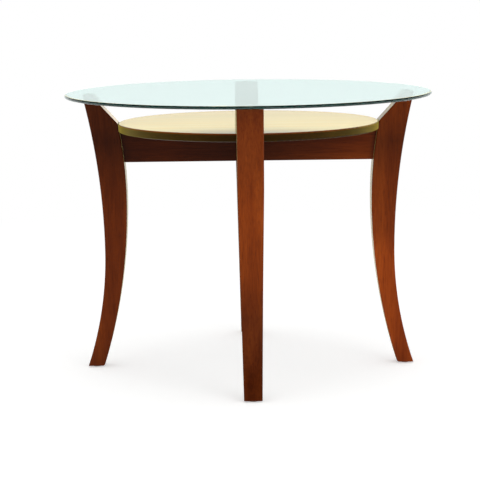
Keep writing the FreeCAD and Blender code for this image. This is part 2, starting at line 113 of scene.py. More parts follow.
class GrainRun(Enum):
    """The way the wood grain runs, with the scale of the pattern along each axis."""

    UPRIGHT = (1.0, 1.0, ALONG_GRAIN)
    LEFT_RIGHT = (ALONG_GRAIN, 1.0, 1.0)
    FRONT_BACK = (1.0, ALONG_GRAIN, 1.0)


class Axis(Enum):
    """The axes that a finish or the surround changes along, with Blender's letters for them."""

    LEFT_RIGHT = "X"
    UPRIGHT = "Z"


class Coordinates(Enum):
    """What a change is measured by, with Blender's names for it."""

    PLACE = "Object"
    DIRECTION = "Generated"


class Sum(Enum):
    """The sums on two values that the finishes need, with Blender's names for them."""

    ADD = "ADD"
    MULTIPLY = "MULTIPLY"
    LARGER = "MAXIMUM"


@dataclass(frozen=True)
class Pattern:
    """A noise pattern: a larger scale is finer, detail counts its layers, and stir distorts it."""

    scale: float
    detail: float = 3.0
    roughness: float = 0.5
    stir: float = 0.0


class NodeBoard:
    """The node tree of a material or of the surround, with short calls for the nodes used here."""

    def __init__(self, owner: bpy.types.Material | bpy.types.World) -> None:
        """Empties the owner's tree and gives it an output.

        Args:
            owner: the material or world that the tree belongs to.
        """
        owner.use_nodes = True
        self.owner = owner
        self.tree = owner.node_tree
        self.tree.nodes.clear()
        kind = "World" if isinstance(owner, bpy.types.World) else "Material"
        self.output = self.add(f"ShaderNodeOutput{kind}")

    def add(self, kind: str, **settings: Any) -> bpy.types.Node:
        """Adds a node and sets its plain properties.

        Args:
            kind: Blender's name for the node type.
            settings: properties of the node and their values.

        Returns:
            The new node.
        """
        node = self.tree.nodes.new(kind)
        for key, value in settings.items():
            setattr(node, key, value)
        return node

    def join(self, source: Socket, target: Socket) -> None:
        """Links an output to an input."""
        self.tree.links.new(source, target)

    def shader(self, **values: Any) -> bpy.types.Node:
        """Adds the main surface shader and links it to the output.

        Args:
            values: socket names, with underscores for spaces, and their values.

        Returns:
            The shader node.
        """
        node = self.add("ShaderNodeBsdfPrincipled")
        for key, value in values.items():
            socket = node.inputs[key.replace("_", " ")]
            socket.default_value = (*value, 1.0) if isinstance(value, tuple) else value
        self.join(node.outputs["BSDF"], self.output.inputs["Surface"])
        return node

    def place(self, scale: Point = EVEN, offset: Point = ORIGIN) -> Socket:
        """Gives the object's own coordinates, stretched and moved.

        Args:
            scale: factor along each axis.
            offset: distance along each axis, after scaling.

        Returns:
            The socket with the coordinates.
        """
        source = self.add("ShaderNodeTexCoord")
        mapping = self.add("ShaderNodeMapping")
        mapping.inputs["Scale"].default_value = scale
        mapping.inputs["Location"].default_value = offset
        self.join(source.outputs[Coordinates.PLACE.value], mapping.inputs["Vector"])
        return mapping.outputs["Vector"]

    def along(self, coordinates: Coordinates, axis: Axis) -> Socket:
        """Gives one axis of a set of coordinates.

        Args:
            coordinates: the coordinates.
            axis: the axis to take.

        Returns:
            The socket with the value along the axis.
        """
        source = self.add("ShaderNodeTexCoord")
        split = self.add("ShaderNodeSeparateXYZ")
        self.join(source.outputs[coordinates.value], split.inputs["Vector"])
        return split.outputs[axis.value]

    def noise(self, place: Socket, pattern: Pattern) -> Socket:
        """Adds a noise pattern.

        Args:
            place: coordinates of the pattern.
            pattern: its scale and layers.

        Returns:
            The socket with the pattern's value.
        """
        node = self.add("ShaderNodeTexNoise")
        node.inputs["Scale"].default_value = pattern.scale
        node.inputs["Detail"].default_value = pattern.detail
        node.inputs["Roughness"].default_value = pattern.roughness
        node.inputs["Distortion"].default_value = pattern.stir
        self.join(place, node.inputs["Vector"])
        return node.outputs["Fac"]

    def ramp(self, value: Socket, stops: Stops) -> Socket:
        """Turns a value into a colour.

        Args:
            value: the value to look up.
            stops: places from 0 to 1, in order, with their colours.

        Returns:
            The socket with the colour.
        """
        node = self.add("ShaderNodeValToRGB")
        band = node.color_ramp
        for index, (position, colour) in enumerate(stops):
            # A new ramp starts with two stops.
            stop = band.elements[index] if index < 2 else band.elements.new(position)
            stop.position = position
            stop.color = (*colour, 1.0)
        self.join(value, node.inputs["Fac"])
        return node.outputs["Color"]

    def span(self, value: Socket, source: Span, target: Span) -> Socket:
        """Maps a value from one range to another, held at its ends.

        Args:
            value: the value to map.
            source: lowest and highest value that come in.
            target: the values that they become.

        Returns:
            The socket with the mapped value.
        """
        node = self.add("ShaderNodeMapRange")
        sockets = ("From Min", "From Max", "To Min", "To Max")
        for socket, number in zip(sockets, (*source, *target)):
            node.inputs[socket].default_value = number
        self.join(value, node.inputs["Value"])
        return node.outputs["Result"]

    def stain(self, share: float, below: Socket, above: Socket) -> Socket:
        """Multiplies a colour by another.

        Args:
            share: how much of the upper colour comes in.
            below: the colour below.
            above: the colour that multiplies it.

        Returns:
            The socket with the multiplied colour.
        """
        node = self.add("ShaderNodeMix", data_type="RGBA", blend_type="MULTIPLY")
        node.inputs["Factor"].default_value = share
        self.join(below, node.inputs["A"])
        self.join(above, node.inputs["B"])
        return node.outputs["Result"]

    def sum(self, operation: Sum, first: Socket, second: Socket | float) -> Socket:
        """Works out one sum on two values.

        Args:
            operation: the sum.
            first: the first value.
            second: the second value, from a socket or as a number.

        Returns:
            The socket with the result.
        """
        node = self.add("ShaderNodeMath", operation=operation.value)
        self.join(first, node.inputs[0])
        if isinstance(second, float):
            node.inputs[1].default_value = second
        else:
            self.join(second, node.inputs[1])
        return node.outputs["Value"]

    def choose(self, share: Socket, first: Socket, second: Socket) -> Socket:
        """Mixes two shaders.

        Args:
            share: how much of the second shader shows.
            first: the shader that shows alone at 0.
            second: the shader that shows alone at 1.

        Returns:
            The socket with the mixed shader.
        """
        node = self.add("ShaderNodeMixShader")
        self.join(share, node.inputs["Fac"])
        self.join(first, node.inputs[1])
        self.join(second, node.inputs[2])
        return node.outputs["Shader"]

    def bump(self, shader: bpy.types.Node, height: Socket, strength: float, distance: float) -> None:
        """Gives a shader fine relief.

        Args:
            shader: the surface shader.
            height: pattern of the relief.
            strength: how much of the relief shows.
            distance: depth of the relief in metres.
        """
        node = self.add("ShaderNodeBump")
        node.inputs["Strength"].default_value = strength
        node.inputs["Distance"].default_value = distance
        self.join(height, node.inputs["Height"])
        self.join(node.outputs["Normal"], shader.inputs["Normal"])


@dataclass(frozen=True)
class CherryFinish:
    """Cherry-stained wood under gloss lacquer, with the grain of one board.

    The board is a place in the grain pattern. The levels at shares of shade_span, a stretch along
    shade_axis, multiply the wood; they are partly the stain's slow change and partly painted light and
    shade, and a painted reflection tint can colour the first of them. The lacquer mirrors with its weight,
    index and blur, and gives a soft light at a low angle with its spread and warmth.
    """

    name: str
    grain: GrainRun
    board: Point
    tone: float = 1.0
    shade_axis: Axis = Axis.UPRIGHT
    shade_span: Span = (0.0, 0.56)
    stain_and_light_levels: tuple[Span, ...] = ((0.0, 1.0), (1.0, 1.0))
    first_reflection_tint: Colour = WHITE
    lacquer_weight: float = 1.0
    lacquer_index: float = 1.12
    lacquer_blur: float = 0.06
    lacquer_spread: float = 0.2
    lacquer_warmth: Colour = (1.0, 0.87, 0.36)
    dark: Colour = (0.105, 0.0155, 0.0016)
    middle: Colour = (0.165, 0.0278, 0.0026)
    light: Colour = (0.225, 0.0435, 0.0048)
    growth_stops: tuple[float, ...] = (0.34, 0.5, 0.66)
    figure: Pattern = Pattern(9.0, detail=4.0, roughness=0.55, stir=0.6)
    figure_share: float = 0.55
    bands: Pattern = Pattern(46.0, stir=0.25)
    band_span: Span = (0.25, 0.75)
    band_roughness: Span = (0.3, 0.46)
    fibres: Pattern = Pattern(420.0, detail=2.0, roughness=0.6)
    streaks: Stops = ((0.3, (0.72, 0.66, 0.6)), (0.62, (1.08, 1.08, 1.08)))
    streak_share: float = 0.75
    pores: Pattern = Pattern(900.0, detail=1.0, roughness=0.4)
    pits: Stops = ((0.27, (0.45, 0.4, 0.38)), (0.36, WHITE))
    pit_share: float = 0.6

    def material(self) -> bpy.types.Material:
        """Builds the wood with its growth bands, fibres, pores, stain and painted light and shade, and
        lacquer.

        Returns:
            The finished material.
        """
        nodes = NodeBoard(bpy.data.materials.new(self.name))
        place = nodes.place(self.grain.value, self.board)
        figure = nodes.noise(place, self.figure)
        bands = nodes.noise(place, self.bands)
        fibres = nodes.noise(place, self.fibres)
        pores = nodes.noise(place, self.pores)

        wide = nodes.sum(Sum.MULTIPLY, figure, self.figure_share)
        narrow = nodes.sum(Sum.MULTIPLY, bands, 1.0 - self.figure_share)
        growth = nodes.sum(Sum.ADD, wide, narrow)
        wood = nodes.ramp(growth, zip(self.growth_stops, (self.dark, self.middle, self.light)))
        wood = nodes.stain(self.streak_share, wood, nodes.ramp(fibres, self.streaks))
        wood = nodes.stain(self.pit_share, wood, nodes.ramp(pores, self.pits))
        # Partly the stain's slow change and partly painted light and shade along the board.
        wood = nodes.stain(1.0, wood, self._stain_shade(nodes))

        shader = nodes.shader(
            Specular_IOR_Level=0.03,
            Coat_Weight=self.lacquer_weight,
            Coat_Roughness=self.lacquer_blur,
            Coat_IOR=self.lacquer_index,
            Sheen_Weight=1.0,
            Sheen_Roughness=self.lacquer_spread,
            Sheen_Tint=self.lacquer_warmth,
        )
        nodes.join(wood, shader.inputs["Base Color"])
        nodes.join(nodes.span(bands, self.band_span, self.band_roughness), shader.inputs["Roughness"])
        nodes.bump(shader, nodes.sum(Sum.ADD, fibres, pores), strength=0.12, distance=0.00025)
        return nodes.owner

    def _stain_shade(self, nodes: NodeBoard) -> Socket:
        """Builds the slow change along the board, partly the stain and partly painted light and shade.

        Args:
            nodes: the material's node tree.

        Returns:
            The socket with the colour that multiplies the wood.
        """
        place = nodes.along(Coordinates.PLACE, self.shade_axis)
        stops = [(at, (self.tone * level,) * 3) for at, level in self.stain_and_light_levels]
        first, grey = stops[0]
        stops[0] = (first, tuple(part * cast for part, cast in zip(grey, self.first_reflection_tint)))
        return nodes.ramp(nodes.span(place, self.shade_span, UNIT), stops)


@dataclass(frozen=True)
class ClearGlassFinish:
    """Polished float glass with a faint aqua cast that deepens along its edge."""

    name: str = "clear_glass_polished"
    face: Colour = (0.97, 1.0, 0.995)
    grazing_cast: Colour = (0.25, 0.9, 0.75)
    depth_tint: Colour = (0.4, 0.82, 0.8)
    depth_density: float = 34.0
    smears: Pattern = Pattern(14.0, detail=4.0, roughness=0.6)
    smear_span: Span = (0.35, 0.7)
    smear_roughness: Span = (0.0, 0.018)
    waves: Pattern = Pattern(3.0, detail=1.0)

    def material(self) -> bpy.types.Material:
        """Builds the clear sheet with its depth tint, faint smears and a trace of roller waviness.

        Returns:
            The finished material.
        """
        nodes = NodeBoard(bpy.data.materials.new(self.name))
        shader = nodes.shader(
            Base_Color=self.face,
            Transmission_Weight=1.0,
            IOR=1.5,
            Sheen_Weight=0.32,
            Sheen_Roughness=0.2,
            Sheen_Tint=self.grazing_cast,
        )
        absorb = nodes.add("ShaderNodeVolumeAbsorption")
        absorb.inputs["Color"].default_value = (*self.depth_tint, 1.0)
        absorb.inputs["Density"].default_value = self.depth_density
        nodes.join(absorb.outputs["Volume"], nodes.output.inputs["Volume"])
        place = nodes.place()
        smears = nodes.noise(place, self.smears)
        nodes.join(nodes.span(smears, self.smear_span, self.smear_roughness), shader.inputs["Roughness"])
        nodes.bump(shader, nodes.noise(place, self.waves), strength=0.02, distance=0.0004)
        return nodes.owner


@dataclass(frozen=True)
class SoftBumperFinish:
    """Clear soft polyurethane, slightly clouded."""

    name: str = "clear_bumper_soft"
    body: Colour = (0.83, 0.9, 0.88)
    cloud: Pattern = Pattern(380.0)
    roughness: Span = (0.22, 0.4)

    def material(self) -> bpy.types.Material:
        """Builds the clouded clear bumper.

        Returns:
            The finished material.
        """
        nodes = NodeBoard(bpy.data.materials.new(self.name))
        shader = nodes.shader(Base_Color=self.body, Transmission_Weight=0.65, IOR=1.49)
        cloud = nodes.noise(nodes.place(), self.cloud)
        nodes.join(nodes.span(cloud, NOISE_SPAN, self.roughness), shader.inputs["Roughness"])
        nodes.bump(shader, cloud, strength=0.1, distance=0.0002)
        return nodes.owner


@dataclass(frozen=True)
class NylonFinish:
    """Natural nylon, scuffed where it slides over floors."""

    name: str = "nylon_glide_scuffed"
    scuffed: Colour = (0.5, 0.46, 0.38)
    clean: Colour = (0.72, 0.68, 0.58)
    colour_stops: Span = (0.35, 0.6)
    cloud: Pattern = Pattern(260.0, detail=5.0, roughness=0.65)
    cloud_offset: Point = (0.2, 0.1, 0.0)
    roughness: Span = (0.62, 0.38)

    def material(self) -> bpy.types.Material:
        """Builds the moulded nylon with cloudy colour and scuffs.

        Returns:
            The finished material.
        """
        nodes = NodeBoard(bpy.data.materials.new(self.name))
        shader = nodes.shader(IOR=1.53)
        cloud = nodes.noise(nodes.place(offset=self.cloud_offset), self.cloud)
        colour = nodes.ramp(cloud, zip(self.colour_stops, (self.scuffed, self.clean)))
        nodes.join(colour, shader.inputs["Base Color"])
        nodes.join(nodes.span(cloud, NOISE_SPAN, self.roughness), shader.inputs["Roughness"])
        nodes.bump(shader, cloud, strength=0.2, distance=0.0002)
        return nodes.owner


@dataclass(frozen=True)
class PlatedSteelFinish:
    """Zinc-plated steel with fine turning marks."""

    name: str = "plated_steel_zinc"
    dull: Colour = (0.4, 0.39, 0.35)
    bright: Colour = (0.62, 0.61, 0.57)
    colour_stops: Span = (0.3, 0.65)
    cloud: Pattern = Pattern(320.0, detail=4.0)
    cloud_offset: Point = (0.0, 0.3, 0.1)
    roughness: Span = (0.42, 0.24)
    turned: Pattern = Pattern(240.0, detail=2.0)
    turned_scale: Point = (1.0, 1.0, 9.0)

    def material(self) -> bpy.types.Material:
        """Builds the plating with its cloudy colour and turning marks.

        Returns:
            The finished material.
        """
        nodes = NodeBoard(bpy.data.materials.new(self.name))
        shader = nodes.shader(Metallic=1.0)
        cloud = nodes.noise(nodes.place(offset=self.cloud_offset), self.cloud)
        turned = nodes.noise(nodes.place(self.turned_scale), self.turned)
        colour = nodes.ramp(cloud, zip(self.colour_stops, (self.dull, self.bright)))
        nodes.join(colour, shader.inputs["Base Color"])
        nodes.join(nodes.span(cloud, NOISE_SPAN, self.roughness), shader.inputs["Roughness"])
        nodes.bump(shader, turned, strength=0.15, distance=0.0001)
        return nodes.owner


def add_ring(
    work: bmesh.types.BMesh, axis: Vector, radius: float | RadiusByTurn, height: float, count: int
) -> Ring:
    """Adds a ring of points.

    Args:
        work: mesh that takes the points.
        axis: a point on the ring's upright axis.
        radius: the radius, or a function of the angle that gives it.
        height: height of the ring.
        count: number of points.

    Returns:
        The points in order round the ring.
    """
    ring = []
    for step in range(count):
        turn = FULL_TURN * step / count
        reach = radius(turn) if callable(radius) else radius
        place = (axis.x + reach * math.cos(turn), axis.y + reach * math.sin(turn), height)
        ring.append(work.verts.new(place))
    return ring


def add_skin(work: bmesh.types.BMesh, first: Ring, second: Ring) -> None:
    """Fills the band between two rings of the same count, or between a ring and a single point.

    Args:
        work: mesh that takes the faces.
        first: points of the one ring.
        second: points of the other ring.
    """
    count = max(len(first), len(second))
    for step in range(count):
        following = (step + 1) % count
        corners = [first[step % len(first)], first[following % len(first)]]
        corners += [second[following % len(second)], second[step % len(second)]]
        work.faces.new(list(dict.fromkeys(corners)))


def spin_outline(
    work: bmesh.types.BMesh, outline: Outline, segments: int, axis: Vector, looped: bool = False
) -> None:
    """Turns an outline about an upright axis into a closed skin.

    Args:
        work: mesh that takes the faces.
        outline: radius and height of each point; a radius of zero lies on the axis.
        segments: number of steps round the axis.
        axis: a point on the axis.
        looped: True when the last point joins the first again, as in a ring.
    """
    rings = [
        add_ring(work, axis, radius, height, segments if radius > 0.0 else 1) for radius, height in outline
    ]
    pairs = list(zip(rings, rings[1:]))
    if looped:
        pairs.append((rings[-1], rings[0]))
    for lower, upper in pairs:
        add_skin(work, lower, upper)


def quarter_round(centre: Span, radius: float, first: float, last: float, steps: int) -> Outline:
    """Gives the points of an arc in an outline.

    Args:
        centre: radius and height of the arc's centre.
        radius: radius of the arc.
        first: angle of the first point, in degrees.
        last: angle of the last point, in degrees.
        steps: number of steps between the two.

    Returns:
        The points from the first angle to the last.
    """
    out, up = centre
    angles = [math.radians(first + (last - first) * step / steps) for step in range(steps + 1)]
    return [(out + radius * math.cos(angle), up + radius * math.sin(angle)) for angle in angles]


def finish_piece(
    work: bmesh.types.BMesh,
    name: str,
    nodes: Sequence[str],
    body: str,
    material: bpy.types.Material,
) -> None:
    """Turns a worked mesh into a piece that stands for nodes of the frame.

    Args:
        work: the finished mesh, which is freed.
        name: name of the piece.
        nodes: names of the frame's nodes that it replaces.
        body: body that it moves with.
        material: its finish.
    """
    bmesh.ops.recalc_face_normals(work, faces=work.faces[:])
    mesh = bpy.data.meshes.new(name)
    work.to_mesh(mesh)
    work.free()
    mesh.polygons.foreach_set("use_smooth", [True] * len(mesh.polygons))
    mesh.materials.append(material)
    piece = bpy.data.objects.new(name, mesh)
    bpy.context.scene.collection.objects.link(piece)
    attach(piece, body)
    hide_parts(*nodes)
    LOG.info("built %s for %s", name, ", ".join(nodes))


@dataclass
class WoodenFrame:
    """The four sabre legs, the two cross rails and the round shelf, carried over with their grain.

    A face of the shelf is part of its rim where the upright share of its normal is under rim_slope.
    """

    legs: dict[Side, CherryFinish] = field(
        default_factory=lambda: {
            # The levels along each leg are partly stain and partly painted light and shade: the right leg
            # is painted lighter than the left. The front leg is darker towards its foot.
            Side.FRONT: CherryFinish(
                "cherry_leg_front",
                GrainRun.UPRIGHT,
                (0.31, 0.12, 0.0),
                stain_and_light_levels=((0.0, 0.57), (0.28, 0.8), (0.42, 1.38), (0.62, 1.6), (0.82, 1.12), (1.0, 0.99)),
            ),
            Side.BACK: CherryFinish("cherry_leg_back", GrainRun.UPRIGHT, (0.77, 0.41, 0.3), tone=0.9),
            Side.LEFT: CherryFinish(
                "cherry_leg_left",
                GrainRun.UPRIGHT,
                (0.13, 0.58, 0.7),
                stain_and_light_levels=(
                    (0.0, 0.8), (0.12, 1.12), (0.25, 1.1), (0.52, 1.15),
                    (0.7, 0.74), (0.83, 0.38), (1.0, 0.66),
                ),
            ),
            Side.RIGHT: CherryFinish(
                "cherry_leg_right",
                GrainRun.UPRIGHT,
                (0.52, 0.27, 1.1),
                stain_and_light_levels=(
                    (0.0, 1.75), (0.08, 2.3), (0.4, 2.3), (0.5, 1.55),
                    (0.68, 1.24), (0.82, 0.7), (1.0, 1.6),
                ),
            ),
        }
    )
    rails: dict[str, CherryFinish] = field(
        default_factory=lambda: {
            # Darker towards the left end, partly the stain and partly painted shade.
            "rail_left_right": CherryFinish(
                "cherry_rail_left_right",
                GrainRun.LEFT_RIGHT,
                (0.2, 0.66, 0.15),
                shade_axis=Axis.LEFT_RIGHT,
                shade_span=(-0.26, 0.26),
                stain_and_light_levels=(
                    (0.0, 0.35), (0.17, 0.58), (0.4, 0.4), (0.55, 0.52),
                    (0.72, 0.78), (0.92, 1.1), (1.0, 1.15),
                ),
            ),
            "rail_front_back": CherryFinish(
                "cherry_rail_front_back", GrainRun.FRONT_BACK, (0.45, 0.9, 0.36), tone=0.5
            ),
        }
    )
    # The shelf's faces are painted lighter and its rim painted darker, with a painted olive reflection tint
    # on the rim.
    shelf: CherryFinish = CherryFinish(
        "cherry_shelf_board",
        GrainRun.LEFT_RIGHT,
        (0.9, 0.35, 0.6),
        shade_span=(0.4965, 0.4998),
        stain_and_light_levels=((0.0, 0.25), (1.0, 1.9)),
        first_reflection_tint=(0.85, 1.8, 2.0),
        lacquer_index=1.2,
        lacquer_blur=0.09,
        lacquer_spread=0.18,
    )
    shelf_rim: CherryFinish = replace(
        shelf,
        name="cherry_shelf_rim",
        lacquer_weight=0.0,
        lacquer_spread=0.46,
        lacquer_warmth=(1.0, 0.75, 0.13),
    )
    rim_slope: float = 0.7

    def dress(self, nodes: dict[str, bpy.types.Object]) -> None:
        """Gives each wooden piece its own board.

        Args:
            nodes: the frame's objects by name.
        """
        boards = {f"leg_{side.label}": finish for side, finish in self.legs.items()}
        boards.update(self.rails)
        boards["shelf"] = self.shelf
        for name, finish in boards.items():
            nodes[name].data.materials[0] = finish.material()
            LOG.info("dressed %s with %s", name, finish.name)
        self._edge_shelf(nodes["shelf"].data)

    def _edge_shelf(self, shelf: bpy.types.Mesh) -> None:
        """Gives the upright rim of the shelf a softer and warmer lacquer than its faces.

        Args:
            shelf: mesh of the shelf, dressed with the finish of its faces.
        """
        shelf.materials.append(self.shelf_rim.material())
        for face in shelf.polygons:
            if abs(face.normal.z) < self.rim_slope:
                face.material_index = 1
        LOG.info("edged shelf with %s", self.shelf_rim.name)


@dataclass
class RoundGlass:
    """The loose round sheet of glass, with polished and softly rounded edges."""

    node: str = "glass_top"
    body: str = "top"
    slot: str = "clear_glass"
    arris: float = 0.0026
    arris_steps: int = 9
    segments: int = 360
    finish: ClearGlassFinish = ClearGlassFinish()

    def outline(self) -> Outline:
        """Gives the half section of the sheet.

        Returns:
            Radius and height of each point, from the middle of the underside to the middle of the top.
        """
        low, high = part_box(self.node)
        inside = high.x - self.arris
        under = quarter_round((inside, low.z + self.arris), self.arris, -90.0, 0.0, self.arris_steps)
        over = quarter_round((inside, high.z - self.arris), self.arris, 0.0, 90.0, self.arris_steps)
        flat = inside - self.arris
        return [(0.0, low.z), (flat, low.z), *under, *over, (flat, high.z), (0.0, high.z)]

    def build(self) -> None:
        """Builds the sheet."""
        work = bmesh.new()
        spin_outline(work, self.outline(), self.segments, Vector())
        finish_piece(work, "glass_sheet", [self.node], self.body, self.finish.material())


@dataclass
class SoftFittings:
    """The clear bumpers under the glass and the nylon glides under the feet."""

    body: str = "frame"
    segments: int = 64
    round_steps: int = 6
    bumper_round: float = 0.0009
    bumper_base_share: float = 0.94
    bumper_base_rise: float = 0.0003
    glide_round: float = 0.0011
    glide_bore: float = 0.00125
    seat_radius: float = 0.00305
    seat_depth: float = 0.00165
    seat_bevel: float = 0.0002
    bumper_finish: SoftBumperFinish = SoftBumperFinish()
    glide_finish: NylonFinish = NylonFinish()

    def bumper_outline(self, low: Vector, high: Vector) -> Outline:
        """Gives the half section of a bumper.

        Args:
            low: lowest corner of the bumper.
            high: highest corner of the bumper.

        Returns:
            Radius and height of each point, from the underside to the top.
        """
        radius = (high.x - low.x) / 2.0
        base = [(radius * self.bumper_base_share, low.z), (radius, low.z + self.bumper_base_rise)]
        centre = (radius - self.bumper_round, high.z - self.bumper_round)
        crown = quarter_round(centre, self.bumper_round, 0.0, 90.0, self.round_steps)
        return [(0.0, low.z), *base, *crown, (0.0, high.z)]

    def glide_outline(self, low: Vector, high: Vector) -> Outline:
        """Gives the half section of a glide, a ring round its nail.

        Args:
            low: lowest corner of the glide.
            high: highest corner of the glide.

        Returns:
            Radius and height of each point, once round the section.
        """
        radius = (high.x - low.x) / 2.0
        seat = low.z + self.seat_depth
        mouth = [(self.seat_radius, low.z + self.seat_bevel), (self.seat_radius + self.seat_bevel, low.z)]
        bore = [(self.glide_bore, high.z), (self.glide_bore, seat), (self.seat_radius, seat)]
        centre = (radius - self.glide_round, low.z + self.glide_round)
        rim = quarter_round(centre, self.glide_round, -90.0, 0.0, self.round_steps)
        return [*bore, *mouth, *rim, (radius, high.z)]

    def build(self) -> None:
        """Builds the four bumpers and the four glides."""
        fittings = (
            ("bumper", "soft", "clear_bumper", self.bumper_outline, False, self.bumper_finish.material()),
            ("glide", "moulded", "nylon_glide", self.glide_outline, True, self.glide_finish.material()),
        )
        for side in Side:
            for kind, make, slot, outline, looped, material in fittings:
                node = f"{kind}_{side.label}"
                low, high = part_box(node)
                work = bmesh.new()
                spin_outline(work, outline(low, high), self.segments, (low + high) / 2.0, looped)
                finish_piece(work, f"{make}_{node}", [node], self.body, material)


@dataclass
class SteelFasteners:
    """The four shelf screws with rolled threads and the four ringed glide nails.

    The sizes of the nail head are shares of its radius, each with a distance from its face or its seat.
    """

    body: str = "frame"
    slot: str = "plated_steel"
    segments: int = 32
    screw_radius: float = 0.002
    screw_head_radius: float = 0.004
    screw_head_height: float = 0.003
    head_round_share: float = 0.55
    head_round_steps: int = 5
    recess_reach: float = 0.0024
    recess_half: float = 0.00045
    recess_depth: float = 0.0016
    recess_base_reach_share: float = 0.55
    recess_base_width_share: float = 0.64
    thread_depth: float = 0.0005
    thread_pitch: float = 0.0018
    thread_rows: int = 6
    thread_flank: float = 0.28
    screw_point_length: float = 0.004
    screw_point_share: float = 0.06
    nail_radius: float = 0.0012
    nail_head_radius: float = 0.003
    nail_head_height: float = 0.001
    nail_face: tuple[Span, ...] = ((0.55, 0.00006), (0.93, 0.00025), (1.0, 0.0005))
    nail_seat: tuple[Span, ...] = ((1.0, 0.0001), (0.96, 0.0))
    nail_point_length: float = 0.003
    ring_pitch: float = 0.0012
    ring_depth: float = 0.00018
    finish: PlatedSteelFinish = PlatedSteelFinish()

    def build(self) -> None:
        """Builds the screws and the nails as one piece each, as the frame has them."""
        steel = self.finish.material()
        for node, name, maker in (
            ("shelf_screws", "threaded_shelf_screws", self.add_screw),
            ("glide_nails", "ringed_glide_nails", self.add_nail),
        ):
            low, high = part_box(node)
            work = bmesh.new()
            for side in Side:
                maker(work, side, low, high)
            finish_piece(work, name, [node], self.body, steel)

    def add_screw(self, work: bmesh.types.BMesh, side: Side, low: Vector, high: Vector) -> None:
        """Adds one screw, head down, with a helical thread and a point.

        Args:
            work: mesh that takes the screw.
            side: side of the table that it stands on.
            low: lowest corner of all four screws.
            high: highest corner of all four screws.
        """
        axis = side.place(high.x - self.screw_head_radius)
        seat = low.z + self.screw_head_height
        bearing = add_ring(work, axis, self.screw_head_radius, seat, self.segments)
        self._pan_head(work, axis, low.z, bearing)
        length = high.z - seat
        rows = round(length / self.thread_pitch) * self.thread_rows
        previous = bearing
        for row in range(rows + 1):
            rise = length * row / rows
            ring = add_ring(work, axis, self._thread_radius(rise, length), seat + rise, self.segments)
            add_skin(work, previous, ring)
            previous = ring
        work.faces.new(previous)

    def _thread_radius(self, rise: float, length: float) -> RadiusByTurn:
        """Gives the radius of the thread round the screw at one height.

        Args:
            rise: height above the head.
            length: length of the whole shank.

        Returns:
            A function of the angle round the screw.
        """
        taper = min(1.0, max(self.screw_point_share, (length - rise) / self.screw_point_length))
        rooted = min(1.0, rise / self.thread_pitch)

        def radius(turn: float) -> float:
            """Gives the radius at one angle.

            Args:
                turn: the angle, in radians.

            Returns:
                The radius.
            """
            phase = (rise / self.thread_pitch - turn / FULL_TURN) % 1.0
            crest = max(0.0, 1.0 - abs(phase - 0.5) / self.thread_flank)
            return (self.screw_radius - self.thread_depth * rooted * (1.0 - crest)) * taper

        return radius

    def _pan_head(self, work: bmesh.types.BMesh, axis: Vector, floor: float, bearing: Ring) -> None:
        """Adds a rounded head with a cross recess, open side down.

        Args:
            work: mesh that takes the head.
            axis: a point on the screw's axis.
            floor: height of the head's face.
            bearing: the ring of points where the head meets the rail.
        """
        rim = self.screw_head_height * self.head_round_share
        centre = (self.screw_head_radius - rim, floor + rim)
        previous = bearing
        for radius, height in quarter_round(centre, rim, 0.0, -90.0, self.head_round_steps):
            ring = add_ring(work, axis, radius, height, self.segments)
            add_skin(work, previous, ring)
            previous = ring
        mouth = self._cross(work, axis, self.recess_reach, self.recess_half, floor)
        edges = [work.edges.get(ends) for ends in zip(previous, previous[1:] + previous[:1])]
        edges += [work.edges.new(ends) for ends in zip(mouth, mouth[1:] + mouth[:1])]
        bmesh.ops.bridge_loops(work, edges=edges)
        base_reach = self.recess_reach * self.recess_base_reach_share
        base_half = self.recess_half * self.recess_base_width_share
        base = self._cross(work, axis, base_reach, base_half, floor + self.recess_depth)
        add_skin(work, mouth, base)
        work.faces.new(base)

    @staticmethod
    def _cross(work: bmesh.types.BMesh, axis: Vector, reach: float, half: float, height: float) -> Ring:
        """Adds the twelve corners of a cross recess.

        Args:
            work: mesh that takes the points.
            axis: a point on the screw's axis.
            reach: length of each arm.
            half: half of the width of each arm.
            height: height of the points.

        Returns:
            The points in order round the cross.
        """
        arm = [(reach, -half), (reach, half), (half, half)]
        corners: Outline = []
        for _ in range(4):
            corners += arm
            arm = [(-y, x) for x, y in arm]
        return [work.verts.new((axis.x + x, axis.y + y, height)) for x, y in corners]

    def add_nail(self, work: bmesh.types.BMesh, side: Side, low: Vector, high: Vector) -> None:
        """Adds one nail, head down, with a low domed head, a ringed shank and a point.

        Args:
            work: mesh that takes the nail.
            side: side of the table that it stands on.
            low: lowest corner of all four nails.
            high: highest corner of all four nails.
        """
        axis = side.place(high.x - self.nail_head_radius)
        seat = low.z + self.nail_head_height
        outline = [(0.0, low.z)]
        outline += [(self.nail_head_radius * share, low.z + rise) for share, rise in self.nail_face]
        outline += [(self.nail_head_radius * share, seat - drop) for share, drop in self.nail_seat]
        outline.append((self.nail_radius, seat))
        top = high.z - self.nail_point_length
        height = seat + self.ring_pitch
        while height + self.ring_pitch < top:
            outline.append((self.nail_radius - self.ring_depth, height))
            outline.append((self.nail_radius, height + self.ring_pitch / 2))
            height += self.ring_pitch
        outline += [(self.nail_radius, top), (0.0, high.z)]
        spin_outline(work, outline, self.segments, axis)


@dataclass(frozen=True)
class SoftBox:
    """A round soft lamp that points at the table and isn't mirrored in it."""

    name: str
    place: Point
    target: Point
    size: float
    power: float

    def hang(self) -> None:
        """Hangs the lamp."""
        light = bpy.data.lights.new(self.name, "AREA")
        light.shape = "DISK"
        light.size = self.size
        light.energy = self.power
        lamp = bpy.data.objects.new(self.name, light)
        lamp.visible_glossy = False
        lamp.location = self.place
        aim = Vector(self.target) - Vector(self.place)
        lamp.rotation_euler = aim.to_track_quat("-Z", "Y").to_euler()
        bpy.context.scene.collection.objects.link(lamp)


